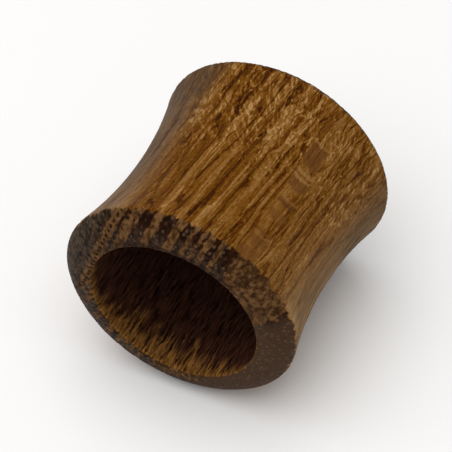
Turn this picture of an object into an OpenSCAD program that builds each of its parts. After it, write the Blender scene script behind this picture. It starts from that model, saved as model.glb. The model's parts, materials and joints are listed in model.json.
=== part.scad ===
// Double-flared ear tunnel, turned from one piece of wood.
// It lies on its two rims with the hole along Y, and the near end looks towards -Y.
// Millimetres, +Z up. The origin is on the surface, under the middle of the piece.

/* [Lobe seat] */
// Diameter of the waist, which is the gauge of the stretched lobe
gauge_d = 14.0; // [13.8:0.1:14.3]
// Radius of the long hollow curve from rim to rim
waist_arc_r = 27.5; // [26:0.5:28]

/* [Hole] */
// Diameter of the drilled hole
bore_d = 11.3; // [10.8:0.1:11.6]

/* [Rims] */
// Diameter over the flared rims
rim_d = 15.7; // [15.4:0.1:15.8]
// Length of the square end of the hole to the middle of the near end
total_l = 15.7; // [15.4:0.1:16]
// Radius of the rounded end faces between hole and rim
face_r = 2.7; // [2.4:0.1:3]

/* [Near end] */
// How far the near end is sanded off square, seen from the side, in degrees
lean_side = 1.7; // [0:0.1:2.5]
// How far it is off square, seen from above, in degrees
lean_top = 1.2; // [0:0.1:2.5]

/* [Hidden] */
$fn = 160;

gauge_r = gauge_d / 2;
bore_r = bore_d / 2;
rim_r = rim_d / 2;
end_y = total_l / 2;
waist_x = gauge_r + waist_arc_r;

// The rim stands where the hollow curve reaches the rim's radius
rim_y = sqrt(pow(waist_arc_r, 2) - pow(waist_x - rim_r, 2));

// The end face is an arc from the lip of the hole to the rim, found from its chord
face_dx = rim_r - bore_r;
face_dy = end_y - rim_y;
face_chord = norm([face_dx, face_dy]);
face_drop = sqrt(pow(face_r, 2) - pow(face_chord / 2, 2));
face_x = (bore_r + rim_r) / 2 - face_drop * face_dy / face_chord;
face_y = (end_y + rim_y) / 2 - face_drop * face_dx / face_chord;

// Uncut wood left past the faces before they are shaped
spare = 1.5;
lathe_r = rim_r + spare;
// The wood behind a face stops this far inside the widest point of its arc
tuck = 0.1;

// What a rounded end face keeps, with the wood going on away from the face
module rounded_end() {
    translate([face_x, face_y]) circle(r = face_r);
    translate([0, -end_y - spare]) square([face_x + face_r - tuck, end_y + spare + face_y]);
    translate([0, -end_y - spare]) square([lathe_r, end_y + rim_y]);
}

// Half section: hollow waist, plain hole, and a rounded face at the far end only
module wall_section() {
    difference() {
        intersection() {
            rounded_end();
            translate([bore_r, -end_y - spare / 2]) square([lathe_r, total_l + spare]);
        }
        translate([waist_x, 0]) circle(r = waist_arc_r);
    }
}

// A section drawn in X and Y is turned about the hole's axis, which lies along Y
module turned() {
    rotate([-90, 0, 0]) rotate_extrude() children();
}

// The near end has the same rounded face, leaned about the middle of its rim
module near_end() {
    translate([0, -rim_y, 0]) rotate([lean_side, 0, lean_top]) translate([0, rim_y, 0])
        rotate([0, 0, 180]) turned() rounded_end();
}

module tunnel() {
    color("#7d5a2c") translate([0, 0, rim_r]) intersection() {
        turned() wall_section();
        near_end();
    }
}

tunnel();
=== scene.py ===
import json
import math

import bpy
import numpy as np
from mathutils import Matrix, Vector


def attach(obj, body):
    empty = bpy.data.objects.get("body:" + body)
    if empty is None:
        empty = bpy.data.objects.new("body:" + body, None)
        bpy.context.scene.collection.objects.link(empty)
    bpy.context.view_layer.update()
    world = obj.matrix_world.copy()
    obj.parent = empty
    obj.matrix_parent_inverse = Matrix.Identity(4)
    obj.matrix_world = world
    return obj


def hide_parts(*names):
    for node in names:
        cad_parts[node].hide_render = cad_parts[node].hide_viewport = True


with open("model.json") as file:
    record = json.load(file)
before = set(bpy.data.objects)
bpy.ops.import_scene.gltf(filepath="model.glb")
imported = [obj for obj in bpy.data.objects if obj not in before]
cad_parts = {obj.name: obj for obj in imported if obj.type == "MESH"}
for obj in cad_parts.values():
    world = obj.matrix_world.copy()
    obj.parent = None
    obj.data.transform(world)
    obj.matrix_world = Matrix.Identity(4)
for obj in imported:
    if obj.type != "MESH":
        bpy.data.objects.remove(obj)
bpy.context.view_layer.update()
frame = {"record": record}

# Wooden ear tunnel lying on its two rims, hole along Y.
# Lengths are in mm in the dictionaries and are scaled to metres where they are used.
mm = 0.001
seat = next(m for m in frame["record"]["mounts"] if m["name"] == "lobe_seat")
centre = Vector(seat["pos_m"])  # middle of the tunnel, on the hole's axis
scene = bpy.context.scene


def linear(hexColour):
    # sRGB hex to linear RGBA
    parts = [int(hexColour[i:i + 2], 16) / 255 for i in (1, 3, 5)]
    return [c / 12.92 if c <= 0.04045 else ((c + 0.055) / 1.055) ** 2.4 for c in parts] + [1.0]


def add(tree, kind, links=None, **settings):
    # one node: settings are its properties, links its sockets by number or name,
    # each given a value or fed by another node or its socket
    node = tree.nodes.new(kind)
    for name, value in settings.items():
        setattr(node, name, value)
    for key, value in (links or {}).items():
        socket = node.inputs[key] if isinstance(key, int) else next(
            s for s in node.inputs if s.name == key and s.enabled)
        if isinstance(value, bpy.types.Node):
            value = next(s for s in value.outputs if s.enabled)
        if isinstance(value, bpy.types.NodeSocket):
            tree.links.new(value, socket)
        else:
            socket.default_value = value
    return node


tunnelShape = {
    "gauge": 14.0,        # waist diameter
    "waistArc": 27.5,     # radius of the long hollow curve
    "hole": 11.3,         # hole diameter
    "rim": 15.7,          # diameter over the rims
    "length": 15.7,
    "faceArc": 2.7,       # radius of the rounded end faces
    "leanSide": 1.7,      # near end off square, degrees
    "leanTop": 1.2,
    "rimBreak": 0.12,     # sanded edges, measured along each surface
    "rimBreakIn": 0.56,   # part of it that reaches in from the rim, as the end face slopes there
    "lipBreak": 0.08,
    "lipWear": 0.2,       # more of it at the lower left of the near lip
    "wearAt": 30.0,       # degrees from the bottom towards the left
    "around": 448,        # mesh columns, 0.11 mm apart on the side
    "sideRings": 118,
    "faceRings": 20,
    "holeRings": 24,
    "edgeRings": 5,
}


def makeTunnel(shape):
    waistR, holeR, rimR = shape["gauge"] / 2, shape["hole"] / 2, shape["rim"] / 2
    arc, faceR, endY = shape["waistArc"], shape["faceArc"], shape["length"] / 2
    waistX = waistR + arc
    rimY = math.sqrt(arc ** 2 - (waistX - rimR) ** 2)
    # end face: arc from lip to rim, centre found from its chord
    wall = rimR - holeR
    chord = math.hypot(wall, endY - rimY)
    drop = math.sqrt(faceR ** 2 - (chord / 2) ** 2)
    midR = (holeR + rimR) / 2 - drop * (endY - rimY) / chord
    midY = (endY + rimY) / 2 - drop * wall / chord
    # the near end leans about the middle of its rim
    tip, swing = math.radians(shape["leanSide"]), math.radians(shape["leanTop"])
    tipped = np.array([[1, 0, 0], [0, math.cos(tip), -math.sin(tip)], [0, math.sin(tip), math.cos(tip)]])
    swung = np.array([
        [math.cos(swing), -math.sin(swing), 0], [math.sin(swing), math.cos(swing), 0], [0, 0, 1]])
    lean = swung @ tipped
    pivot = np.array([0, -rimY, 0])
    turn = np.linspace(0, 2 * math.pi, shape["around"], endpoint=False)  # from the top towards +X
    one = np.ones_like(turn)

    def sideR(y):
        return waistX - np.sqrt(arc ** 2 - y ** 2)

    def farY(r):
        return midY + np.sqrt(faceR ** 2 - (r - midR) ** 2)

    def nearY(r, tries=12):
        # where the leaned near face is at each column, closed in on in a few tries
        y = -farY(r) * one
        for _ in range(tries):
            spot = np.stack([r * np.sin(turn), y, r * np.cos(turn)], 1)
            square = (spot - pivot) @ lean + pivot
            y = y - (square[:, 1] + farY(np.hypot(square[:, 0], square[:, 2])))
        return y

    def nearRim(tries=30):
        # where the side meets the leaned face
        y = -rimY * one
        for _ in range(tries):
            y = nearY(sideR(y))
        return y

    rings = []

    def ring(r, y, pastRim, pastLip):
        # pastRim is mm from the rim on to the end face, pastLip mm from the lip into the hole
        rings.append(np.stack([r * one, y * one, pastRim * one, pastLip * one]))

    def edge(a, corner, b, pastRim, pastLip):
        # sanded edge from a to b round its corner
        for k in range(1, shape["edgeRings"] + 1):
            t = k / (shape["edgeRings"] + 1)
            w = ((1 - t) ** 2, 2 * t * (1 - t), t ** 2)
            r, y = [sum(q * p[i] for q, p in zip(w, (a, corner, b))) for i in (0, 1)]
            ring(r, y, pastRim[0] + (pastRim[1] - pastRim[0]) * t, pastLip[0] + (pastLip[1] - pastLip[0]) * t)

    cut, lip = shape["rimBreak"], shape["lipBreak"]
    cutIn = cut * shape["rimBreakIn"]
    worn = np.clip(-np.cos(turn - math.radians(shape["wearAt"])), 0, 1)
    nearLip = lip + shape["lipWear"] * worn
    rimNearY = nearRim()
    rimNearR = sideR(rimNearY)

    # side, from the far rim to the near one
    sideFrom, sideTo = rimY - cut, rimNearY + cut
    for k in range(shape["sideRings"]):
        y = sideFrom + (sideTo - sideFrom) * k / (shape["sideRings"] - 1)
        ring(sideR(y), y, -np.minimum(rimY - y, y - rimNearY), -wall)
    # near end face
    faceFrom = rimNearR - cutIn
    edge((sideR(sideTo), sideTo), (rimNearR, rimNearY), (faceFrom, nearY(faceFrom)),
         pastRim=(-cut, cut), pastLip=(-wall, -wall))
    for k in range(shape["faceRings"]):
        r = faceFrom + (holeR + nearLip - faceFrom) * k / (shape["faceRings"] - 1)
        ring(r, nearY(r), cut + faceFrom - r, holeR - r)
    # hole
    lipY = nearY(holeR * one)
    holeFrom = lipY + nearLip
    edge((holeR + nearLip, nearY(holeR + nearLip)), (holeR, lipY), (holeR, holeFrom),
         pastRim=(wall, wall), pastLip=(-nearLip, nearLip))
    for k in range(shape["holeRings"]):
        y = holeFrom + (endY - lip - holeFrom) * k / (shape["holeRings"] - 1)
        ring(holeR, y, wall, np.minimum(y - lipY, endY - y))
    # far end face
    edge((holeR, endY - lip), (holeR, farY(holeR)), (holeR + lip, farY(holeR + lip)),
         pastRim=(wall, wall), pastLip=(lip, -lip))
    farTo = rimR - cutIn
    for k in range(shape["faceRings"]):
        r = holeR + lip + (farTo - holeR - lip) * k / (shape["faceRings"] - 1)
        ring(r, farY(r), cut + farTo - r, holeR - r)
    edge((farTo, farY(farTo)), (rimR, rimY), (sideR(sideFrom), sideFrom),
         pastRim=(cut, -cut), pastLip=(-wall, -wall))

    count, columns = len(rings), shape["around"]
    r, y, pastRim, pastLip = np.array(rings).swapaxes(0, 1)
    spots = np.stack([r * np.sin(turn), y, r * np.cos(turn)], 2).reshape(-1, 3) * mm + np.array(centre)
    i, j = np.meshgrid(np.arange(count), np.arange(columns), indexing="ij")
    nextI, nextJ = (i + 1) % count, (j + 1) % columns
    quads = np.stack([i * columns + j, nextI * columns + j, nextI * columns + nextJ, i * columns + nextJ], 2)
    mesh = bpy.data.meshes.new("woodTunnel")
    mesh.from_pydata(spots.tolist(), [], quads.reshape(-1, 4).tolist())
    mesh.shade_smooth()
    for name, values in (("pastRim", pastRim), ("pastLip", pastLip)):
        layer = mesh.attributes.new(name, "FLOAT", "POINT")
        layer.data.foreach_set("value", values.reshape(-1).astype(np.float32))
    piece = bpy.data.objects.new("woodTunnel", mesh)
    scene.collection.objects.link(piece)
    return piece


tunnel = makeTunnel(tunnelShape)
print("tunnel turned:", len(tunnel.data.polygons), "faces")

bandedHardwood = {
    "bandSlope": 0.33,      # bands of the cross-section lean this much, across per up
    "bandCurve": 0.25,      # and swing this much more below the middle
    "bendFrom": 5.6,        # mm right of the middle, where the last bands bend outward
    "bendBy": 0.7,          # by this much for each mm further out
    "straightAt": -7.5,     # mm along, where the fibres are straight and not twisted yet
    "fibreWander": 0.4,     # mm that fibres stray sideways over the length
    "wanderScale": 0.3,     # how often they do so for each mm
    "fibreTwist": 0.7,      # degrees they turn round the hole for each mm along it
    "farHalf": (-2.0, 2.0),  # mm along, where the interlocked far half sets in
    "nearCurlBy": 0.03,     # mm that the fibres wave to and fro in the near half
    "curlBy": 0.08,         # and how much more in the far half
    "curlSize": 0.7,        # mm, of those waves
    "streakSize": 0.5,      # mm, dark lines lie about half as far apart
    "streakLength": 26.0,   # times as long as wide
    "farShorter": 2.5,      # times shorter in the far half
    "layerDepth": 3.0,      # times as deep as wide, so the flanks are smooth
    "tearScale": 6.0,       # torn spots for each mm
    "sheetSize": 0.3,       # mm, fibres of the flanks
    "gritSize": 0.12,       # mm, small specks, twice as long as wide
    "fibreSize": 0.13,      # mm, coarser than the real 0.02 so that it shows
    "fleckSize": 0.17,      # mm wide, four times as long
    "lumpSize": 0.26,       # mm, cells of the end grain
    "netCell": 0.5,         # mm, brown cells between thin pale lines
    "dotGap": 0.38,         # mm between the dots of the end grain, pale in dark wood and dark in pale
    "dotSize": 0.17,        # mm across
    "beadSize": 0.3,        # mm, uneven edge of the pale bands
    "reach": 8.0,           # mm to each side of the middle that the lists below may cover
    # end grain from the left side to the right: mm across, and how pale
    "bands": [
        (-6.2, 0.05), (-6.02, 0.95), (-5.5, 0.95), (-5.35, 0.10), (-4.97, 0.85), (-4.52, 0.80), (-4.38, 0.05),
        (-3.78, 0.05), (-3.65, 0.90), (-3.25, 0.90), (-3.07, 0.05), (-2.43, 0.05), (-2.3, 0.95),
        (-1.86, 0.90), (-1.74, 0.08), (-1.38, 0.08), (-1.25, 0.90), (-1.03, 0.85), (-0.87, 0.08),
        (-0.63, 0.85), (-0.36, 0.05), (-0.17, 0.85), (0.08, 0.80), (0.2, 0.08), (0.45, 0.08), (0.6, 0.85),
        (0.82, 0.80), (0.95, 0.05), (1.6, 0.10), (1.8, 1.0), (4.65, 1.0), (4.95, 0.05),
    ],
    # long grain in the same way, all moved by stripeShift
    "stripes": [
        (-5.9, 0.50), (-5.5, 0.72), (-5.25, 0.60), (-5.1, 0.20), (-4.85, 0.20), (-4.65, 0.50), (-4.25, 0.50),
        (-4.1, 0.12), (-3.55, 0.08), (-3.38, 0.88), (-2.95, 0.78), (-2.8, 0.10), (-2.65, 0.62),
        (-2.5, 0.15), (-2.3, 0.74), (-1.9, 0.70), (-1.8, 0.05), (-1.48, 0.08), (-1.28, 0.94), (-0.7, 0.78),
        (-0.55, 0.10), (-0.3, 0.10), (-0.15, 0.80), (0.25, 0.75), (0.42, 0.10), (0.62, 0.70), (0.85, 0.15),
        (1.1, 0.64), (2.9, 0.6), (4.9, 0.56), (5.2, 0.76), (5.8, 0.6),
    ],
    "stripeShift": -0.1,
    "squiggles": (1.7, 4.9),        # mm across, where dark lines run about in the pale wood
    "poreRow": (-5.75, 0.40, 0.11),  # mm across, pitch and radius of a row of open pores
    "flecked": -2.1,                # mm across, the far half's slanting flecks are palest left of it
    "fleckSlant": 0.55,             # mm that they lean across for each mm along
    "netted": (-2.2, 0.9),          # mm across, the net beside them
    "ladder": (4.4, 0.55),          # place and half width of a column with rungs across the fibres
    # rungs of the ladder from the near end: mm along, and how pale, all moved by rungShift
    "rungs": [
        (-6.3, 0.50), (-5.8, 0.56), (-5.2, 0.48), (-4.8, 0.50), (-4.62, 0.70), (-4.42, 0.60), (-4.32, 0.44),
        (-4.1, 0.60), (-3.0, 0.60), (-2.8, 0.53), (-2.2, 0.52), (-1.9, 0.60), (-1.5, 0.60), (-1.35, 0.38),
        (-1.15, 0.42), (-0.95, 0.70), (-0.7, 0.60), (0.0, 0.60), (0.1, 0.45), (0.88, 0.46), (1.0, 0.80),
        (1.12, 0.78), (1.22, 0.48), (1.3, 0.48), (1.4, 0.84), (1.55, 0.80), (1.75, 0.60), (2.2, 0.47),
        (3.65, 0.44), (3.85, 0.78), (4.05, 0.60), (4.3, 0.56),
    ],
    "rungShift": 0.2,
    "plainRung": 0.6,               # as pale as the wood round it, so nothing is drawn there
    "flanks": (5.1, 6.8),           # mm off the middle, where the flanks and their painted sheen begin and where they are full
}


def setRamp(ramp, stops):
    # colour ramp with the stops given as places from 0 to 1 and colours
    elements = ramp.color_ramp.elements
    elements.remove(elements[1])
    elements[0].position, elements[0].color = stops[0]
    for at, colour in stops[1:]:
        elements.new(at).color = colour
    return ramp


def paleStops(stops, reach):
    # stops given in mm and how pale, for a ramp over reach mm to each side of the middle
    return [((at + reach) / (2 * reach), (pale, pale, pale, 1)) for at, pale in stops]


def layFibres(tree, place, wood):
    # which way the fibres run: place is in mm from the middle of the hole, they lie along Y
    x, y, z = add(tree, "ShaderNodeSeparateXYZ", {0: place}).outputs
    # they start straight at the near end and stray further on
    strayBy = add(tree, "ShaderNodeMapRange", {
        "Value": y, "From Min": wood["straightAt"], "From Max": 0.0, "To Max": wood["fibreWander"]})
    wander = add(tree, "ShaderNodeTexNoise", {"Vector": add(
        tree, "ShaderNodeVectorMath", {0: place, 1: (1, 0.5, 1)}, operation="MULTIPLY"),
        "Scale": wood["wanderScale"], "Detail": 1.0}, noise_dimensions="3D")
    toAndFro = add(tree, "ShaderNodeVectorMath", {
        0: wander.outputs["Color"], 1: (0.5, 0.5, 0.5)}, operation="SUBTRACT")
    strayed = add(tree, "ShaderNodeVectorMath", {
        0: toAndFro, 1: add(tree, "ShaderNodeCombineXYZ", {0: strayBy, 2: strayBy}), 2: place},
        operation="MULTIPLY_ADD")
    # and turn round the hole on their way
    twist = math.radians(wood["fibreTwist"])
    angle = add(tree, "ShaderNodeMath", {
        0: y, 1: -twist, 2: twist * wood["straightAt"] - math.atan(wood["bandSlope"])},
        operation="MULTIPLY_ADD")
    turned = add(tree, "ShaderNodeVectorRotate", {"Vector": strayed, "Angle": angle}, rotation_type="Y_AXIS")
    across, along, deep = add(tree, "ShaderNodeSeparateXYZ", {0: turned}).outputs

    # bands of the cross-section swing out below the middle
    under = add(tree, "ShaderNodeMath", {0: z, 1: -1.0}, operation="MULTIPLY")
    under = add(tree, "ShaderNodeMath", {0: under, 1: 0.0, 2: 1.5}, operation="SMOOTH_MAX")
    bandAt = add(tree, "ShaderNodeMath", {
        0: under, 1: wood["bandCurve"], 2: across}, operation="MULTIPLY_ADD")
    # the last ones on the right bend outward
    bent = add(tree, "ShaderNodeMath", {0: x, 1: wood["bendFrom"]}, operation="SUBTRACT")
    bent = add(tree, "ShaderNodeMath", {0: bent, 1: 0.0}, operation="MAXIMUM")
    bandAt = add(tree, "ShaderNodeMath", {0: bent, 1: -wood["bendBy"], 2: bandAt}, operation="MULTIPLY_ADD")

    # interlocked grain: the far half of the fibres waves to and fro and is cut shorter
    start, end = wood["farHalf"]
    far = add(tree, "ShaderNodeMapRange", {
        "Value": along, "From Min": start, "From Max": end}, interpolation_type="SMOOTHSTEP")
    curl = add(tree, "ShaderNodeTexNoise", {
        "Vector": turned, "Scale": 1 / wood["curlSize"], "Detail": 1.0}, noise_dimensions="3D")
    toAndFro = add(tree, "ShaderNodeVectorMath", {
        0: curl.outputs["Color"], 1: (0.5, 0.5, 0.5)}, operation="SUBTRACT")
    curlBy = add(tree, "ShaderNodeMath", {
        0: far, 1: 2 * wood["curlBy"], 2: 2 * wood["nearCurlBy"]}, operation="MULTIPLY_ADD")
    curled = add(tree, "ShaderNodeVectorMath", {
        0: toAndFro, 1: add(tree, "ShaderNodeCombineXYZ", {0: curlBy, 1: curlBy, 2: curlBy}), 2: turned},
        operation="MULTIPLY_ADD")
    curledAcross, curledAlong, curledDeep = add(tree, "ShaderNodeSeparateXYZ", {0: curled}).outputs
    shorter = add(tree, "ShaderNodeMath", {0: curledAlong, 1: 0.5}, operation="SUBTRACT")
    shorter = add(tree, "ShaderNodeMath", {0: shorter, 1: 0.0, 2: 1.5}, operation="SMOOTH_MAX")
    length = add(tree, "ShaderNodeMath", {
        0: shorter, 1: wood["farShorter"] - 1, 2: curledAlong}, operation="MULTIPLY_ADD")
    drawnOut = add(tree, "ShaderNodeVectorMath", {
        0: add(tree, "ShaderNodeCombineXYZ", {0: curledAcross, 1: length, 2: curledDeep}),
        1: (1, 1 / wood["streakLength"], 1 / wood["layerDepth"])}, operation="MULTIPLY")
    return {"across": across, "along": along, "deep": deep, "turned": turned, "bandAt": bandAt, "far": far,
            "curled": curled, "curledAcross": curledAcross, "curledAlong": curledAlong,
            "curledDeep": curledDeep, "drawnOut": drawnOut}


def growLongGrain(tree, lie, wood):
    # what the side shows, where the cut runs along the fibres
    across, along, far, curled = lie["curledAcross"], lie["curledAlong"], lie["far"], lie["curled"]

    # thin dark lines with torn edges, which part long pale lenses
    lens = add(tree, "ShaderNodeTexNoise", {
        "Vector": lie["drawnOut"], "Scale": 1 / wood["streakSize"], "Detail": 1.6, "Roughness": 0.55},
        noise_dimensions="3D")
    tear = add(tree, "ShaderNodeTexNoise", {"Vector": add(
        tree, "ShaderNodeVectorMath", {0: curled, 1: (1, 0.35, 1)}, operation="MULTIPLY"),
        "Scale": wood["tearScale"], "Detail": 2.0}, noise_dimensions="3D")
    torn = add(tree, "ShaderNodeMath", {0: tear, 1: 0.1, 2: lens}, operation="MULTIPLY_ADD")
    offLine = add(tree, "ShaderNodeMath", {0: torn, 1: 0.55}, operation="SUBTRACT")
    offLine = add(tree, "ShaderNodeMath", {0: offLine}, operation="ABSOLUTE")
    fade = add(tree, "ShaderNodeTexNoise", {
        "Vector": lie["drawnOut"], "Scale": 0.55 / wood["streakSize"], "Detail": 0.0}, noise_dimensions="3D")
    lineWidth = add(tree, "ShaderNodeMapRange", {
        "Value": fade, "From Min": 0.35, "From Max": 0.65, "To Min": 0.02, "To Max": 0.06})
    lineCore = add(tree, "ShaderNodeMath", {0: lineWidth, 1: 0.3}, operation="MULTIPLY")
    streak = add(tree, "ShaderNodeMapRange", {
        "Value": offLine, "From Min": lineWidth, "From Max": lineCore}, interpolation_type="SMOOTHSTEP")
    # small glints, fainter in the near half
    glint = add(tree, "ShaderNodeMapRange", {
        "Value": tear, "From Min": 0.62, "From Max": 0.72}, interpolation_type="SMOOTHSTEP")
    glint = add(tree, "ShaderNodeMath", {0: glint, 1: add(tree, "ShaderNodeMapRange", {
        "Value": far, "To Min": 0.35, "To Max": 1.0})}, operation="MULTIPLY")

    # fine fibres, those of the flanks, where the cut runs along the layers, and specks
    fibre = add(tree, "ShaderNodeTexNoise", {
        "Vector": lie["drawnOut"], "Scale": 1 / wood["fibreSize"], "Detail": 2.0}, noise_dimensions="3D")
    sheet = add(tree, "ShaderNodeTexNoise", {"Vector": add(
        tree, "ShaderNodeVectorMath", {0: curled, 1: (0.5, 0.07, 1)}, operation="MULTIPLY"),
        "Scale": 1 / wood["sheetSize"], "Detail": 3.0, "Roughness": 0.6}, noise_dimensions="3D")
    grit = add(tree, "ShaderNodeTexNoise", {"Vector": add(
        tree, "ShaderNodeVectorMath", {0: curled, 1: (1, 0.5, 0.5)}, operation="MULTIPLY"),
        "Scale": 1 / wood["gritSize"], "Detail": 1.0}, noise_dimensions="3D")

    # broad stripes
    reach, shift = wood["reach"], wood["stripeShift"]
    wavy = add(tree, "ShaderNodeMath", {0: torn, 1: 0.5, 2: across}, operation="MULTIPLY_ADD")
    wavy = add(tree, "ShaderNodeMapRange", {
        "Value": wavy, "From Min": shift - reach, "From Max": shift + reach})
    stripe = setRamp(add(tree, "ShaderNodeValToRGB", {0: wavy}), paleStops(wood["stripes"], reach))

    # pale flecks that cross the fibres at a slant, and the part where they are palest
    edgeAt, soft = wood["flecked"], 0.4
    flecked = add(tree, "ShaderNodeMapRange", {
        "Value": across, "From Min": edgeAt + soft, "From Max": edgeAt - soft},
        interpolation_type="SMOOTHSTEP")
    flecked = add(tree, "ShaderNodeMath", {0: flecked, 1: far}, operation="MULTIPLY")
    slant = add(tree, "ShaderNodeMath", {
        0: along, 1: wood["fleckSlant"], 2: across}, operation="MULTIPLY_ADD")
    fleck = add(tree, "ShaderNodeTexNoise", {"Vector": add(tree, "ShaderNodeCombineXYZ", {
        0: slant, 1: add(tree, "ShaderNodeMath", {0: along, 1: 0.25}, operation="MULTIPLY"),
        2: add(tree, "ShaderNodeMath", {0: lie["curledDeep"], 1: 0.4}, operation="MULTIPLY")}),
        "Scale": 1 / wood["fleckSize"], "Detail": 0.5}, noise_dimensions="3D")
    flecks = add(tree, "ShaderNodeMapRange", {
        "Value": fleck, "From Min": 0.53, "From Max": 0.63}, interpolation_type="SMOOTHSTEP")
    flecks = add(tree, "ShaderNodeMath", {0: flecks, 1: far}, operation="MULTIPLY")

    # net of thin pale lines between brown cells, torn here and there
    cell = add(tree, "ShaderNodeTexVoronoi", {"Vector": add(
        tree, "ShaderNodeVectorMath", {0: curled, 1: (1, 0.6, 1)}, operation="MULTIPLY"),
        "Scale": 1 / wood["netCell"]}, voronoi_dimensions="3D", feature="DISTANCE_TO_EDGE")
    net = add(tree, "ShaderNodeMapRange", {
        "Value": cell, "From Min": 0.12, "From Max": 0.03}, interpolation_type="SMOOTHSTEP")
    (start, end), soft = wood["netted"], 0.3
    begun = add(tree, "ShaderNodeMapRange", {
        "Value": across, "From Min": start - soft, "From Max": start + soft}, interpolation_type="SMOOTHSTEP")
    ended = add(tree, "ShaderNodeMapRange", {
        "Value": across, "From Min": end + soft, "From Max": end - soft}, interpolation_type="SMOOTHSTEP")
    netted = add(tree, "ShaderNodeMath", {0: begun, 1: ended}, operation="MULTIPLY")
    netted = add(tree, "ShaderNodeMath", {0: netted, 1: far}, operation="MULTIPLY")
    net = add(tree, "ShaderNodeMath", {0: net, 1: netted}, operation="MULTIPLY")
    net = add(tree, "ShaderNodeMath", {0: net, 1: add(tree, "ShaderNodeMapRange", {
        "Value": tear, "From Min": 0.4, "From Max": 0.6})}, operation="MULTIPLY")
    return {"lens": lens, "tear": tear, "streak": streak, "glint": glint, "fibre": fibre,
            "sheet": sheet, "grit": grit, "stripe": stripe, "flecked": flecked, "flecks": flecks,
            "netted": netted, "net": net}


def growLadder(tree, place, wood):
    # smooth brown patches between pale rungs, on the upper side only
    x, y, z = add(tree, "ShaderNodeSeparateXYZ", {0: place}).outputs
    ladderAt, wide = wood["ladder"]
    offLadder = add(tree, "ShaderNodeMath", {
        0: x, 1: 1 / wide, 2: -ladderAt / wide}, operation="MULTIPLY_ADD")
    ragged = add(tree, "ShaderNodeTexNoise", {
        "Vector": place, "Scale": 1.6, "Detail": 2.0}, noise_dimensions="3D")
    within = add(tree, "ShaderNodeMath", {
        0: ragged, 1: -0.9, 2: add(tree, "ShaderNodeMath", {0: offLadder}, operation="ABSOLUTE")},
        operation="MULTIPLY_ADD")
    within = add(tree, "ShaderNodeMapRange", {
        "Value": within, "From Min": 0.6, "From Max": 0.4}, interpolation_type="SMOOTHSTEP")
    above = add(tree, "ShaderNodeMath", {0: z, 1: 0.0}, operation="GREATER_THAN")
    within = add(tree, "ShaderNodeMath", {0: within, 1: above}, operation="MULTIPLY")
    # the rungs bend back at their ends
    bow = add(tree, "ShaderNodeMath", {0: offLadder, 1: offLadder}, operation="MULTIPLY")
    rungAt = add(tree, "ShaderNodeMath", {0: bow, 1: -0.16, 2: y}, operation="MULTIPLY_ADD")
    rungAt = add(tree, "ShaderNodeMath", {0: ragged, 1: 0.4, 2: rungAt}, operation="MULTIPLY_ADD")
    reach, shift = wood["reach"], wood["rungShift"]
    rungAt = add(tree, "ShaderNodeMapRange", {
        "Value": rungAt, "From Min": shift - reach, "From Max": shift + reach})
    rungs = setRamp(add(tree, "ShaderNodeValToRGB", {0: rungAt}), paleStops(wood["rungs"], reach))
    unlike = add(tree, "ShaderNodeMath", {0: rungs, 1: wood["plainRung"]}, operation="SUBTRACT")
    unlike = add(tree, "ShaderNodeMath", {0: unlike}, operation="ABSOLUTE")
    shown = add(tree, "ShaderNodeMapRange", {"Value": unlike, "From Min": 0.02, "From Max": 0.08})
    ladder = add(tree, "ShaderNodeMath", {0: within, 1: shown}, operation="MULTIPLY")
    return {"ladder": ladder, "rungs": rungs}


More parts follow.
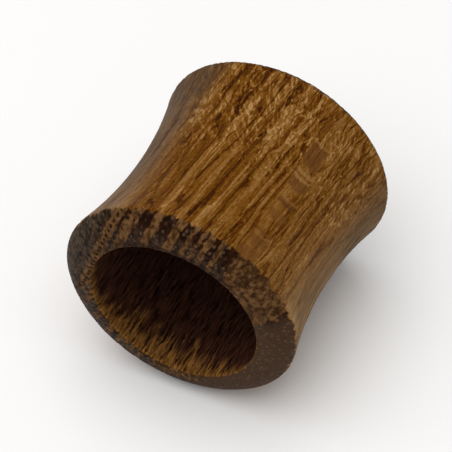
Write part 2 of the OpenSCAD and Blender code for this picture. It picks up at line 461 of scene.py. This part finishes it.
def growEndGrain(tree, lie, wood):
    # what the end faces show, where the fibres are cut across
    turned, bandAt, reach = lie["turned"], lie["bandAt"], wood["reach"]

    # pale bands with uneven edges
    bands = setRamp(add(tree, "ShaderNodeValToRGB", {0: add(tree, "ShaderNodeMapRange", {
        "Value": bandAt, "From Min": -reach, "From Max": reach})}), paleStops(wood["bands"], reach))
    bead = add(tree, "ShaderNodeTexNoise", {"Vector": add(
        tree, "ShaderNodeVectorMath", {0: turned, 1: (1, 0.075, 1)}, operation="MULTIPLY"),
        "Scale": 1 / wood["beadSize"], "Detail": 0.8}, noise_dimensions="3D")
    beaded = add(tree, "ShaderNodeMath", {0: bead, 1: 1.7, 2: bands}, operation="MULTIPLY_ADD")
    pale = add(tree, "ShaderNodeMapRange", {
        "Value": beaded, "From Min": 1.26, "From Max": 1.52}, interpolation_type="SMOOTHSTEP")
    lump = add(tree, "ShaderNodeTexNoise", {"Vector": add(
        tree, "ShaderNodeVectorMath", {0: turned, 1: (1, 0.05, 1)}, operation="MULTIPLY"),
        "Scale": 1 / wood["lumpSize"], "Detail": 1.0}, noise_dimensions="3D")
    lumps = add(tree, "ShaderNodeMapRange", {"Value": lump, "From Min": 0.36, "From Max": 0.64})

    # dots that run the length of the wood, some of them faint
    flat = add(tree, "ShaderNodeCombineXYZ", {0: lie["across"], 1: lie["deep"]})
    vessel = add(tree, "ShaderNodeTexVoronoi", {
        "Vector": flat, "Scale": 1 / wood["dotGap"], "Randomness": 0.9}, voronoi_dimensions="2D")
    dotR = wood["dotSize"] / wood["dotGap"] / 2
    dot = add(tree, "ShaderNodeMapRange", {
        "Value": vessel.outputs["Distance"], "From Min": dotR * 1.5, "From Max": dotR * 0.4},
        interpolation_type="SMOOTHSTEP")
    clear = add(tree, "ShaderNodeSeparateXYZ", {0: vessel.outputs["Color"]})
    clear = add(tree, "ShaderNodeMapRange", {"Value": clear, "From Min": 0.1, "From Max": 0.9})
    dot = add(tree, "ShaderNodeMath", {0: dot, 1: clear}, operation="MULTIPLY")

    # dark lines that run about in the pale wood, with uneven edges
    wave = add(tree, "ShaderNodeTexNoise", {"Vector": add(
        tree, "ShaderNodeVectorMath", {0: turned, 1: (1, 0.1, 1)}, operation="MULTIPLY"),
        "Scale": 1.25, "Detail": 1.2}, noise_dimensions="3D")
    offLine = add(tree, "ShaderNodeMath", {0: wave, 1: 0.5}, operation="SUBTRACT")
    offLine = add(tree, "ShaderNodeMath", {0: offLine}, operation="ABSOLUTE")
    uneven = add(tree, "ShaderNodeMath", {0: bead, 1: 0.5}, operation="SUBTRACT")
    offLine = add(tree, "ShaderNodeMath", {0: uneven, 1: -0.1, 2: offLine}, operation="MULTIPLY_ADD")
    squiggle = add(tree, "ShaderNodeMapRange", {
        "Value": offLine, "From Min": 0.055, "From Max": 0.0}, interpolation_type="SMOOTHSTEP")
    start, end = wood["squiggles"]
    begun = add(tree, "ShaderNodeMath", {0: bandAt, 1: start}, operation="GREATER_THAN")
    ended = add(tree, "ShaderNodeMath", {0: bandAt, 1: end}, operation="LESS_THAN")
    squiggle = add(tree, "ShaderNodeMath", {
        0: squiggle, 1: add(tree, "ShaderNodeMath", {0: begun, 1: ended}, operation="MULTIPLY")},
        operation="MULTIPLY")

    # row of open pores along one band
    rowAt, pitch, poreR = wood["poreRow"]
    step = add(tree, "ShaderNodeMath", {0: lie["deep"], 1: 1 / pitch}, operation="MULTIPLY")
    step = add(tree, "ShaderNodeMath", {0: step}, operation="FRACT")
    offPore = add(tree, "ShaderNodeCombineXYZ", {
        0: add(tree, "ShaderNodeMath", {0: bandAt, 1: rowAt}, operation="SUBTRACT"),
        1: add(tree, "ShaderNodeMath", {0: step, 1: pitch, 2: -pitch / 2}, operation="MULTIPLY_ADD")})
    offPore = add(tree, "ShaderNodeVectorMath", {0: offPore}, operation="LENGTH").outputs["Value"]
    pore = add(tree, "ShaderNodeMapRange", {
        "Value": offPore, "From Min": poreR * 1.25, "From Max": poreR * 0.75},
        interpolation_type="SMOOTHSTEP")
    return {"bead": bead, "pale": pale, "lumps": lumps, "dot": dot, "squiggle": squiggle, "pore": pore}


def growWood(tree, place, wood):
    # the wood as a solid, from which each surface shows what it cuts
    lie = layFibres(tree, place, wood)
    return {**lie, **growLongGrain(tree, lie, wood), **growLadder(tree, place, wood),
            **growEndGrain(tree, lie, wood)}


oiledFinish = {
    "specular": 0.04,       # dry oiled wood mirrors very little
    "roughness": 0.38,
    "fibreRoughness": 0.3,  # more on the crests of the fibres
    "drilledRoughness": 0.4,  # and more in the hole, which is left as drilled
    "bump": 0.6,
    "bumpDepth": 0.05,      # mm
    # what the parts of the grain add to the tone of the side, and to the bump
    "toneBy": {"fibre": 0.8, "streak": -0.32, "flecked": -0.05, "netted": -0.08, "net": 0.28,
               "glint": 0.45, "grit": 0.5},
    "bumpBy": {"sheet": 0.5, "flecks": 0.5, "net": 0.4, "pore": -0.8},
    # long grain and the patches of the ladder: how pale, and the colour there
    "longGrain": [
        (0.1, "#301200"), (0.35, "#4f2800"), (0.63, "#6f440a"), (0.96, "#926836"), (1.0, "#a37d4a")],
    "ladder": [(0.3, "#3a1e04"), (0.45, "#5b3718"), (0.6, "#74491c"), (0.85, "#926a3c")],
    # darkest and palest
    "leftFlankSheen": ("#372312", "#7d644a"),    # grey brown, greyed by painted sheen
    "rightFlankSheen": ("#432f16", "#96754a"),   # warmer, greyed by painted sheen, and paler as painted light
    "paleBands": ("#3a240e", "#6c4c2c"),    # tan
    "darkBands": ("#20140c", "#433527"),    # grey brown
    "atRim": ("#160701", "#2e1506"),        # near black
    "drilled": ("#040000", "#523022"),      # red brown, near black as painted shade inside the hole
    "tufts": ("#3c2008", "#8e622e"),        # golden, partly painted light at the hole's mouth
    "tuftScale": 1.6,       # tufts of torn fibres for each mm round the hole
    "hairScale": 7.5,       # and single fibres
    "tuftReach": (1.0, 3.4),  # mm that they and their painted light reach in, in the upper half and at the bottom
    "dots": ("#6e5a46", "#3a2010"),         # those in dark wood, and those in pale
    "rightOfEnd": "#463121",
    "lines": "#241103",
    # painted shade on the upper lip of the end face
    "topLipShade": "#1e0a05",
}


def paintLongGrain(tree, grown, wood, finish):
    # the flanks are cut along the layers and look smoother; they are painted greyer as painted sheen
    offMiddle = add(tree, "ShaderNodeMath", {0: grown["across"], 1: 0.15}, operation="ADD")
    offMiddle = add(tree, "ShaderNodeMath", {0: offMiddle}, operation="ABSOLUTE")
    offMiddle = add(tree, "ShaderNodeMath", {
        0: grown["along"], 1: -0.05, 2: offMiddle}, operation="MULTIPLY_ADD")
    start, full = wood["flanks"]
    flankSheen = add(tree, "ShaderNodeMapRange", {
        "Value": offMiddle, "From Min": start, "From Max": full}, interpolation_type="SMOOTHSTEP")

    # tan, with darker stripes and streaks and paler flecks, which are fainter on the flanks
    fleckBy = add(tree, "ShaderNodeMapRange", {
        "Value": add(tree, "ShaderNodeMath", {0: grown["flecked"], 1: flankSheen}, operation="SUBTRACT"),
        "From Min": -1.0, "From Max": 1.0, "To Min": 0.06, "To Max": 0.3})
    tone = add(tree, "ShaderNodeMath", {0: grown["stripe"], 1: 0.44, 2: -0.19}, operation="MULTIPLY_ADD")
    tone = add(tree, "ShaderNodeMath", {0: grown["flecks"], 1: fleckBy, 2: tone}, operation="MULTIPLY_ADD")
    for name, weight in finish["toneBy"].items():
        tone = add(tree, "ShaderNodeMath", {0: grown[name], 1: weight, 2: tone}, operation="MULTIPLY_ADD")
    longGrain = setRamp(add(tree, "ShaderNodeValToRGB", {0: tone}),
                        [(at, linear(colour)) for at, colour in finish["longGrain"]])

    # the patches of the ladder are smooth and redder
    rung = add(tree, "ShaderNodeMath", {0: grown["fibre"], 1: 0.15, 2: -0.05}, operation="MULTIPLY_ADD")
    rung = add(tree, "ShaderNodeMath", {0: grown["rungs"], 1: rung}, operation="ADD")
    patches = setRamp(add(tree, "ShaderNodeValToRGB", {0: rung}),
                      [(at, linear(colour)) for at, colour in finish["ladder"]])
    longGrain = add(tree, "ShaderNodeMix", {
        "Factor": add(tree, "ShaderNodeMath", {0: grown["ladder"], 1: 0.75}, operation="MULTIPLY"),
        "A": longGrain, "B": patches}, data_type="RGBA")

    # the right flank is warmer than the left and painted paler as painted light, and both are painted paler
    # towards the near end, also painted light
    rightLitBy = add(tree, "ShaderNodeMapRange", {"Value": grown["across"], "From Min": -5.0, "From Max": 5.0})
    darkest, palest = [
        add(tree, "ShaderNodeMix", {
            "Factor": rightLitBy, "A": linear(left), "B": linear(right)}, data_type="RGBA")
        for left, right in zip(finish["leftFlankSheen"], finish["rightFlankSheen"])]
    layers = add(tree, "ShaderNodeMath", {0: grown["lens"], 1: 0.6}, operation="MULTIPLY")
    layers = add(tree, "ShaderNodeMath", {0: grown["sheet"], 1: 1.6, 2: layers}, operation="MULTIPLY_ADD")
    layers = add(tree, "ShaderNodeMapRange", {"Value": layers, "From Min": 0.75, "From Max": 1.45})
    nearLightBy = add(tree, "ShaderNodeMapRange", {
        "Value": grown["along"], "From Min": 4.0, "From Max": -6.0, "To Min": 0.68, "To Max": 1.25})
    endLightBy = add(tree, "ShaderNodeMapRange", {
        "Value": grown["along"], "From Min": -6.0, "From Max": -7.6, "To Min": 1.0, "To Max": 1.3})
    flankSheenColour = add(tree, "ShaderNodeVectorMath", {
        0: add(tree, "ShaderNodeMix", {"Factor": layers, "A": darkest, "B": palest}, data_type="RGBA"),
        "Scale": add(tree, "ShaderNodeMath", {0: nearLightBy, 1: endLightBy}, operation="MULTIPLY")}, operation="SCALE")
    return add(tree, "ShaderNodeMix", {
        "Factor": add(tree, "ShaderNodeMath", {0: flankSheen, 1: 0.75}, operation="MULTIPLY"),
        "A": longGrain, "B": flankSheenColour}, data_type="RGBA")


def paintEndGrain(tree, grown, up, pastRim, pastLip, finish):
    # tan bands in grey brown, which turns near black towards the rim, and towards the top as painted shade,
    # all of small lumps
    nearRim = add(tree, "ShaderNodeMapRange", {
        "Value": pastRim, "From Min": 1.9, "From Max": 0.7}, interpolation_type="SMOOTHSTEP")
    # painted shade: darker towards the top of the end face
    topShade = add(tree, "ShaderNodeMapRange", {"Value": up, "From Min": 3.0, "From Max": 5.5, "To Max": 0.5})
    nearRim = add(tree, "ShaderNodeMath", {0: nearRim, 1: topShade}, operation="MAXIMUM")
    tan, grey, black = [
        add(tree, "ShaderNodeMix", {
            "Factor": grown["lumps"], "A": linear(darkest), "B": linear(palest)}, data_type="RGBA")
        for darkest, palest in (finish["paleBands"], finish["darkBands"], finish["atRim"])]
    dark = add(tree, "ShaderNodeMix", {"Factor": nearRim, "A": grey, "B": black}, data_type="RGBA")
    # the left and right sides of the end are grey brown up to the rim
    left = add(tree, "ShaderNodeMapRange", {"Value": grown["bandAt"], "From Min": -6.0, "From Max": -6.8})
    right = add(tree, "ShaderNodeMapRange", {
        "Value": grown["bandAt"], "From Min": 4.6, "From Max": 5.2, "To Max": 0.85},
        interpolation_type="SMOOTHSTEP")
    dark = add(tree, "ShaderNodeMix", {"Factor": left, "A": dark, "B": grey}, data_type="RGBA")
    dark = add(tree, "ShaderNodeMix", {
        "Factor": right, "A": dark, "B": linear(finish["rightOfEnd"])}, data_type="RGBA")

    # the bands fade below the middle and show again close to the lip
    paleBy = add(tree, "ShaderNodeMapRange", {
        "Value": up, "From Min": 0.6, "From Max": -0.8, "To Min": 1.0, "To Max": 0.25})
    atLip = add(tree, "ShaderNodeMapRange", {
        "Value": pastLip, "From Min": -1.1, "From Max": -0.6}, interpolation_type="SMOOTHSTEP")
    paleBy = add(tree, "ShaderNodeMath", {0: paleBy, 1: atLip}, operation="MAXIMUM")
    pale = add(tree, "ShaderNodeMath", {0: grown["pale"], 1: paleBy}, operation="MULTIPLY")
    ground = add(tree, "ShaderNodeMix", {"Factor": pale, "A": dark, "B": tan}, data_type="RGBA")

    # pale dots in the dark wood and dark ones in the pale
    inDark, inPale = finish["dots"]
    dots = add(tree, "ShaderNodeMix", {
        "Factor": grown["pale"], "A": linear(inDark), "B": linear(inPale)}, data_type="RGBA")
    dotted = add(tree, "ShaderNodeMix", {
        "Factor": add(tree, "ShaderNodeMath", {0: grown["dot"], 1: 0.45}, operation="MULTIPLY"),
        "A": ground, "B": dots}, data_type="RGBA")
    # the dark lines are clearest near the rim
    lineBy = add(tree, "ShaderNodeMath", {0: nearRim, 1: 0.35, 2: 0.4}, operation="MULTIPLY_ADD")
    squiggled = add(tree, "ShaderNodeMath", {0: grown["squiggle"], 1: lineBy}, operation="MULTIPLY")
    marks = add(tree, "ShaderNodeMath", {0: squiggled, 1: grown["pore"]}, operation="MAXIMUM")
    marked = add(tree, "ShaderNodeMix", {
        "Factor": add(tree, "ShaderNodeMath", {0: marks, 1: 0.92}, operation="MULTIPLY"),
        "A": dotted, "B": linear(finish["lines"])}, data_type="RGBA")
    # the upper lip is painted darker, as painted shade
    topLipShade = add(tree, "ShaderNodeMath", {
        0: add(tree, "ShaderNodeMapRange", {
            "Value": pastLip, "From Min": -0.45, "From Max": -0.1, "To Max": 0.75}),
        1: add(tree, "ShaderNodeMapRange", {"Value": up, "From Min": 3.4, "From Max": 5.4})},
        operation="MULTIPLY")
    return add(tree, "ShaderNodeMix", {
        "Factor": topLipShade, "A": marked, "B": linear(finish["topLipShade"])}, data_type="RGBA")


def paintDrilled(tree, grown, place, pastLip, holeR, finish):
    # drilled wall laid flat, in mm round from the bottom
    x, y, z = add(tree, "ShaderNodeSeparateXYZ", {0: place}).outputs
    turn = add(tree, "ShaderNodeMath", {
        0: x, 1: add(tree, "ShaderNodeMath", {0: z, 1: -1.0}, operation="MULTIPLY")}, operation="ARCTAN2")
    uneven = add(tree, "ShaderNodeMath", {0: grown["tear"], 1: 0.3}, operation="MULTIPLY")
    arc = add(tree, "ShaderNodeMath", {0: turn, 1: holeR, 2: uneven}, operation="MULTIPLY_ADD")
    tufts = add(tree, "ShaderNodeTexNoise", {"Vector": add(tree, "ShaderNodeCombineXYZ", {
        0: arc, 1: add(tree, "ShaderNodeMath", {0: y, 1: 0.25}, operation="MULTIPLY")}),
        "Scale": finish["tuftScale"], "Detail": 1.0}, noise_dimensions="2D")
    hair = add(tree, "ShaderNodeTexNoise", {"Vector": add(tree, "ShaderNodeCombineXYZ", {
        0: arc, 1: add(tree, "ShaderNodeMath", {0: y, 1: 0.09}, operation="MULTIPLY")}),
        "Scale": finish["hairScale"], "Detail": 2.0}, noise_dimensions="2D")

    # torn fibres at the lip, golden partly as painted light falling in at the mouth, reach deepest into the
    # hole at the bottom, and less far on the right
    above, below = finish["tuftReach"]
    low = add(tree, "ShaderNodeMapRange", {
        "Value": z, "From Min": -1.0, "From Max": -4.6, "To Min": above, "To Max": below},
        interpolation_type="SMOOTHSTEP")
    leftOf = add(tree, "ShaderNodeMapRange", {
        "Value": x, "From Min": 4.6, "From Max": 1.0, "To Min": 0.25, "To Max": 1.0})
    reachIn = add(tree, "ShaderNodeMath", {0: low, 1: leftOf}, operation="MULTIPLY")
    deep = add(tree, "ShaderNodeMapRange", {
        "Value": pastLip, "From Min": reachIn, "From Max": 0.0, "To Min": 0.0, "To Max": 1.0})
    litTuft = add(tree, "ShaderNodeMath", {0: tufts, 1: 1.3, 2: hair}, operation="MULTIPLY_ADD")
    litTuft = add(tree, "ShaderNodeMath", {0: deep, 1: 1.1, 2: litTuft}, operation="MULTIPLY_ADD")
    litTuft = add(tree, "ShaderNodeMapRange", {
        "Value": litTuft, "From Min": 1.4, "From Max": 2.25}, interpolation_type="SMOOTHSTEP")
    litTuft = add(tree, "ShaderNodeMath", {
        0: litTuft, 1: add(tree, "ShaderNodeMapRange", {"Value": deep, "From Max": 0.2})}, operation="MULTIPLY")

    # golden, partly painted light, in dark red brown, whose near black is painted shade inside the hole
    darkest, palest = finish["drilled"]
    shadedRed = add(tree, "ShaderNodeMix", {
        "Factor": add(tree, "ShaderNodeMapRange", {"Value": hair, "From Min": 0.25, "From Max": 0.75}),
        "A": linear(darkest), "B": linear(palest)}, data_type="RGBA")
    darkest, palest = finish["tufts"]
    litGolden = add(tree, "ShaderNodeMix", {
        "Factor": add(tree, "ShaderNodeMapRange", {"Value": hair, "From Min": 0.33, "From Max": 0.67}),
        "A": linear(darkest), "B": linear(palest)}, data_type="RGBA")
    return add(tree, "ShaderNodeMix", {"Factor": litTuft, "A": shadedRed, "B": litGolden}, data_type="RGBA")


def placeOf(tree, position):
    # a position in the scene, in mm from the middle of the hole
    shifted = add(tree, "ShaderNodeVectorMath", {0: position, 1: centre}, operation="SUBTRACT")
    return add(tree, "ShaderNodeVectorMath", {0: shifted, "Scale": 1 / mm}, operation="SCALE")


def paintWood(piece, wood, finish, holeR):
    # oiled hardwood, fine sanded: satin, darker on the end grain, which drinks the oil, with open pores
    material = bpy.data.materials.new("oiledBandedHardwood")
    material.use_nodes = True
    tree = material.node_tree
    shader = tree.nodes["Principled BSDF"]
    place = placeOf(tree, add(tree, "ShaderNodeTexCoord").outputs["Object"])
    up = add(tree, "ShaderNodeSeparateXYZ", {0: place}).outputs[2]
    grown = growWood(tree, place, wood)
    pastRim = add(tree, "ShaderNodeAttribute", attribute_name="pastRim").outputs["Fac"]
    pastLip = add(tree, "ShaderNodeAttribute", attribute_name="pastLip").outputs["Fac"]

    # uneven edges: end grain shows a little way round the rim, torn fibres round the lip
    endGrain = add(tree, "ShaderNodeMath", {0: grown["bead"], 1: 0.55, 2: pastRim}, operation="MULTIPLY_ADD")
    endGrain = add(tree, "ShaderNodeMapRange", {
        "Value": endGrain, "From Min": 0.28, "From Max": 0.42}, interpolation_type="SMOOTHSTEP")
    inside = add(tree, "ShaderNodeMath", {0: grown["fibre"], 1: 0.4, 2: pastLip}, operation="MULTIPLY_ADD")
    inside = add(tree, "ShaderNodeMapRange", {
        "Value": inside, "From Min": 0.16, "From Max": 0.24}, interpolation_type="SMOOTHSTEP")
    outer = add(tree, "ShaderNodeMix", {
        "Factor": endGrain, "A": paintLongGrain(tree, grown, wood, finish),
        "B": paintEndGrain(tree, grown, up, pastRim, pastLip, finish)}, data_type="RGBA")
    colour = add(tree, "ShaderNodeMix", {
        "Factor": inside, "A": outer, "B": paintDrilled(tree, grown, place, pastLip, holeR, finish)},
        data_type="RGBA")
    tree.links.new(colour.outputs[2], shader.inputs["Base Color"])
    shader.inputs["Specular IOR Level"].default_value = finish["specular"]
    rough = add(tree, "ShaderNodeMath", {
        0: grown["fibre"], 1: finish["fibreRoughness"], 2: finish["roughness"]}, operation="MULTIPLY_ADD")
    rough = add(tree, "ShaderNodeMath", {
        0: inside, 1: finish["drilledRoughness"], 2: rough}, operation="MULTIPLY_ADD")
    tree.links.new(rough.outputs[0], shader.inputs["Roughness"])
    # fine relief; the coarser one is in the mesh
    height = add(tree, "ShaderNodeMath", {
        0: grown["streak"], 1: -0.5, 2: grown["fibre"]}, operation="MULTIPLY_ADD")
    for name, weight in finish["bumpBy"].items():
        height = add(tree, "ShaderNodeMath", {0: grown[name], 1: weight, 2: height}, operation="MULTIPLY_ADD")
    bump = add(tree, "ShaderNodeBump", {
        "Strength": finish["bump"], "Distance": finish["bumpDepth"] * mm, "Height": height})
    tree.links.new(bump.outputs[0], shader.inputs["Normal"])
    piece.data.materials.append(material)


woodRelief = {
    "depth": 0.035,     # mm from streak to crest on the turned side
    "turning": 0.03,    # mm, slow unevenness left by hand sanding
    "turningSize": 3.2,
    # what the parts of the grain add to it, beside the streaks
    "reliefBy": {"stripe": 0.5, "flecks": 0.4, "net": 0.3, "pore": -1.0, "tear": 0.6},
}


def reliefOf(piece, wood, relief):
    # the same wood pattern as real relief: streaks and pores sunk, flecks and net raised
    tree = bpy.data.node_groups.new("woodRelief", "GeometryNodeTree")
    for way in ("INPUT", "OUTPUT"):
        tree.interface.new_socket("Geometry", in_out=way, socket_type="NodeSocketGeometry")
    place = placeOf(tree, add(tree, "GeometryNodeInputPosition"))
    grown = growWood(tree, place, wood)
    height = add(tree, "ShaderNodeMath", {0: grown["streak"], 1: -0.6}, operation="MULTIPLY")
    for name, weight in relief["reliefBy"].items():
        height = add(tree, "ShaderNodeMath", {0: grown[name], 1: weight, 2: height}, operation="MULTIPLY_ADD")
    slow = add(tree, "ShaderNodeTexNoise", {
        "Vector": place, "Scale": 1 / relief["turningSize"], "Detail": 1.0}, noise_dimensions="3D")
    height = add(tree, "ShaderNodeMath", {
        0: slow, 1: relief["turning"] / relief["depth"], 2: height}, operation="MULTIPLY_ADD")
    lift = add(tree, "ShaderNodeMath", {0: height, 1: relief["depth"] * mm}, operation="MULTIPLY")
    offset = add(tree, "ShaderNodeVectorMath", {
        0: add(tree, "GeometryNodeInputNormal"), "Scale": lift}, operation="SCALE")
    moved = add(tree, "GeometryNodeSetPosition", {"Geometry": add(tree, "NodeGroupInput"), "Offset": offset})
    add(tree, "NodeGroupOutput", {0: moved})
    piece.modifiers.new("woodRelief", "NODES").node_group = tree


paintWood(tunnel, bandedHardwood, oiledFinish, tunnelShape["hole"] / 2)
reliefOf(tunnel, bandedHardwood, woodRelief)
print("wood grown")

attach(tunnel, "root")
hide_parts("tunnel")

floorPlan = {"size": 1200.0, "colour": "#fcfbfa"}


def makeFloor(plan):
    # matt white paper: no gloss, and pale enough to run into the surroundings
    half = plan["size"] / 2 * mm
    corners = [(-half, -half, 0), (half, -half, 0), (half, half, 0), (-half, half, 0)]
    mesh = bpy.data.meshes.new("paleFloor")
    mesh.from_pydata(corners, [], [(0, 1, 2, 3)])
    piece = bpy.data.objects.new("paleFloor", mesh)
    scene.collection.objects.link(piece)
    paint = bpy.data.materials.new("mattPaper")
    paint.use_nodes = True
    look = paint.node_tree.nodes["Principled BSDF"]
    look.inputs["Base Color"].default_value = linear(plan["colour"])
    look.inputs["Roughness"].default_value = 0.9
    look.inputs["Specular IOR Level"].default_value = 0.1
    piece.data.materials.append(paint)


makeFloor(floorPlan)
print("floor laid")

cameraView = {
    "azimuth": 26.33,     # degrees round from -Y towards +X
    "elevation": 48.14,
    "distance": 176.1,
    "aside": 0.226,       # how far the view's middle is off the tunnel's, in mm
    "above": -0.08,
    "focal": 2793.0,      # in pixels of a 452 pixel wide picture
    "picture": 452.0,
}


def makeCamera(view):
    a, e = math.radians(view["azimuth"]), math.radians(view["elevation"])
    back = Vector((math.sin(a) * math.cos(e), -math.cos(a) * math.cos(e), math.sin(e)))
    right = Vector((math.cos(a), math.sin(a), 0))
    up = back.cross(right)
    data = bpy.data.cameras.new("camera")
    data.sensor_width = 36.0
    data.lens = view["focal"] / view["picture"] * data.sensor_width
    data.clip_start, data.clip_end = 0.01, 10.0
    piece = bpy.data.objects.new("camera", data)
    scene.collection.objects.link(piece)
    piece.location = centre + (back * view["distance"] - right * view["aside"] - up * view["above"]) * mm
    piece.rotation_euler = back.to_track_quat("Z", "Y").to_euler()
    scene.camera = piece


makeCamera(cameraView)
print("camera placed")

lightPlan = {
    "sky": 0.4,           # strength of the white surroundings
    "overhead": {"size": 420.0, "place": (-45.0, -60.0, 318.0), "power": 1.05},
}


def makeLights(plan):
    world = bpy.data.worlds.new("whiteStudio")
    world.use_nodes = True
    backdrop = world.node_tree.nodes["Background"]
    backdrop.inputs["Color"].default_value = linear("#ffffff")
    backdrop.inputs["Strength"].default_value = plan["sky"]
    scene.world = world
    lamp = plan["overhead"]
    data = bpy.data.lights.new("overhead", "AREA")
    data.size = lamp["size"] * mm
    data.energy = lamp["power"]
    piece = bpy.data.objects.new("overhead", data)
    scene.collection.objects.link(piece)
    piece.location = Vector(lamp["place"]) * mm
    piece.rotation_euler = (piece.location - centre).to_track_quat("Z", "Y").to_euler()


makeLights(lightPlan)
scene.view_settings.view_transform = "Standard"
print("lights on")
